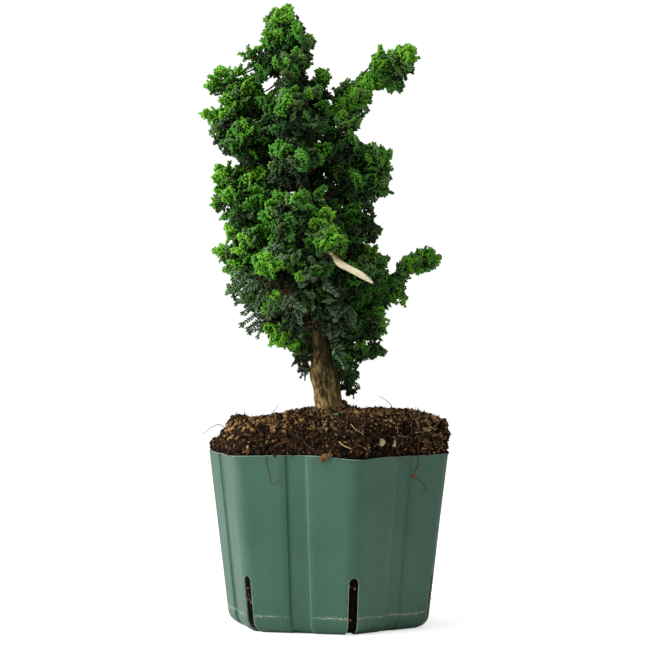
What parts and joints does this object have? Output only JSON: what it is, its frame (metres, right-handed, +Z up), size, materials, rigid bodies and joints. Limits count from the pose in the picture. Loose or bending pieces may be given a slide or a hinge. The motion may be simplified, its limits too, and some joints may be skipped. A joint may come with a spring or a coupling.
{
  "type": "potted dwarf hinoki cypress",
  "caption": "Dwarf hinoki cypress standing in a hexagonal nursery pot, with a proud root ball, a leaning trunk, boughs, a pruned stub and dense tufts of foliage.",
  "frame": {"origin": "middle of the pot's flat underside", "axes": "+Z up along the plant's height, -Y to the front, +X to the right"},
  "size_m": [0.1851, 0.181, 0.4687],
  "materials": {
    "pot_plastic": "thin moulded green plastic with a dull sheen, pale scuffs and a worn rim",
    "potting_soil": "dark peat with bark crumbs, clay granules and fine roots",
    "bark": "grey brown fibrous bark in shallow upright strips",
    "cut_wood": "peeled cream wood with a slanting cut",
    "foliage": "scale leaves in small fans, lime green at the tips and blue green low down"
  },
  "bodies": {
    "root": {"pot": "pot_plastic", "root_ball": "potting_soil", "trunk": "bark", "cut_stub": "cut_wood", "bough_left_back": "bark", "bough_arm_high_inner": "bark", "bough_arm_high": "bark", "bough_right_upper_front": "bark", "bough_right_back": "bark", "bough_back_mid": "bark", "bough_left_mid": "bark", "bough_left_mid_back": "bark", "bough_front_right": "bark", "bough_front_left_low": "bark", "bough_arm_low": "bark", "bough_arm_low_inner": "bark", "foliage_leader": "foliage", "foliage_neck_left": "foliage", "foliage_neck_right": "foliage", "foliage_neck_front": "foliage", "foliage_neck_back": "foliage", "foliage_upper_left": "foliage", "foliage_left": "foliage", "foliage_left_back": "foliage", "foliage_upper_front": "foliage", "foliage_upper_right_spur": "foliage", "foliage_upper_back": "foliage", "foliage_arm_high_inner": "foliage", "foliage_arm_high": "foliage", "foliage_right_upper_front": "foliage", "foliage_right": "foliage", "foliage_right_back": "foliage", "foliage_front_mid": "foliage", "foliage_back_mid": "foliage", "foliage_left_mid": "foliage", "foliage_left_mid_back": "foliage", "foliage_front_centre": "foliage", "foliage_right_mid": "foliage", "foliage_back_centre": "foliage", "foliage_left_low": "foliage", "foliage_front_right": "foliage", "foliage_right_low": "foliage", "foliage_back_low_right": "foliage", "foliage_back_low_left": "foliage", "foliage_left_spur_low": "foliage", "foliage_front_left_low": "foliage", "foliage_arm_low": "foliage", "foliage_arm_low_inner": "foliage", "foliage_droop_left": "foliage", "foliage_front_low": "foliage", "foliage_front_right_low": "foliage", "foliage_right_skirt": "foliage", "foliage_back_skirt": "foliage", "foliage_left_skirt": "foliage", "foliage_right_base": "foliage", "foliage_right_foot": "foliage", "foliage_left_foot": "foliage", "foliage_back_foot": "foliage"}
  },
  "joints": []
}
